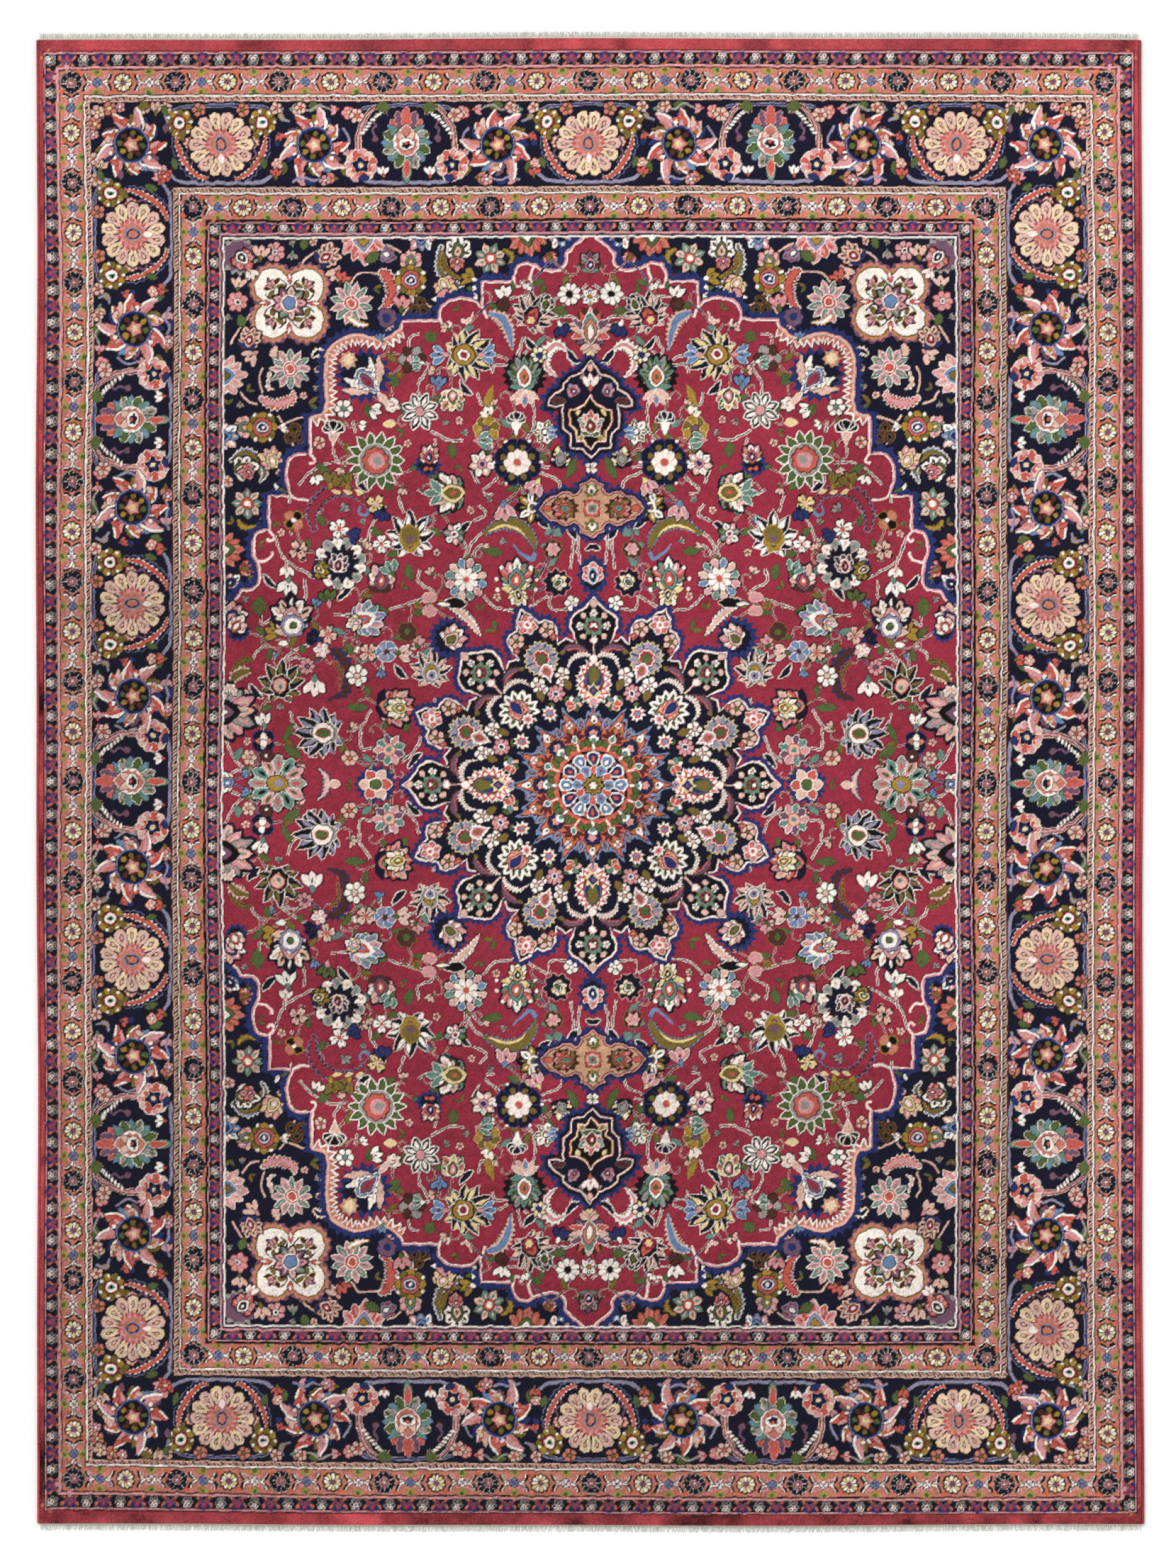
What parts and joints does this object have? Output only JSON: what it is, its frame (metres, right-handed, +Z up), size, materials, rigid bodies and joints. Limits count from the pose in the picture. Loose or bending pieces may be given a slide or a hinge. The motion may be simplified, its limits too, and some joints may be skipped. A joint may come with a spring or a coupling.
{
  "type": "area rug",
  "caption": "Large rectangular hand-knotted wool medallion carpet with patterned borders, overcast selvedges and a short cotton fringe at both ends, lying flat.",
  "frame": {"origin": "middle of the underside of the carpet, on the floor", "axes": "+X across the width, +Y along the length, +Z up out of the pile"},
  "size_m": [2.95, 3.998, 0.011],
  "materials": {
    "cotton_foundation": "plain woven undyed cotton",
    "cotton_end": "undyed cotton, flat-woven and then cut as a short fringe",
    "selvedge_wool": "wool yarn wrapped tightly round the side cords",
    "pile_red": "cut wool pile, crimson ground with knotted ornament, slight sheen",
    "pile_navy": "cut wool pile, dark blue ground with knotted ornament, slight sheen",
    "pile_salmon": "cut wool pile, salmon ground with knotted rosettes, slight sheen",
    "pile_stripe": "cut wool pile, slanting two-colour stripe, slight sheen"
  },
  "bodies": {
    "root": {"foundation": "cotton_foundation", "plain_band_north": "pile_red", "plain_band_east": "pile_red", "plain_band_south": "pile_red", "plain_band_west": "pile_red", "outer_guard_north": "pile_navy", "outer_guard_east": "pile_navy", "outer_guard_south": "pile_navy", "outer_guard_west": "pile_navy", "outer_border_north": "pile_salmon", "outer_border_east": "pile_salmon", "outer_border_south": "pile_salmon", "outer_border_west": "pile_salmon", "outer_barber_stripe_north": "pile_stripe", "outer_barber_stripe_east": "pile_stripe", "outer_barber_stripe_south": "pile_stripe", "outer_barber_stripe_west": "pile_stripe", "main_border_north": "pile_navy", "main_border_east": "pile_navy", "main_border_south": "pile_navy", "main_border_west": "pile_navy", "inner_barber_stripe_north": "pile_stripe", "inner_barber_stripe_east": "pile_stripe", "inner_barber_stripe_south": "pile_stripe", "inner_barber_stripe_west": "pile_stripe", "inner_border_north": "pile_salmon", "inner_border_east": "pile_salmon", "inner_border_south": "pile_salmon", "inner_border_west": "pile_salmon", "inner_guard_north": "pile_navy", "inner_guard_east": "pile_navy", "inner_guard_south": "pile_navy", "inner_guard_west": "pile_navy", "field": "pile_red", "medallion": "pile_navy", "spandrel_north_east": "pile_navy", "spandrel_north_west": "pile_navy", "spandrel_south_east": "pile_navy", "spandrel_south_west": "pile_navy", "selvedge_core_east": "cotton_foundation", "selvedge_wrap_east": "selvedge_wool", "selvedge_core_west": "cotton_foundation", "selvedge_wrap_west": "selvedge_wool", "kilim_end_north": "cotton_end", "fringe_north": "cotton_end", "kilim_end_south": "cotton_end", "fringe_south": "cotton_end"}
  },
  "joints": []
}
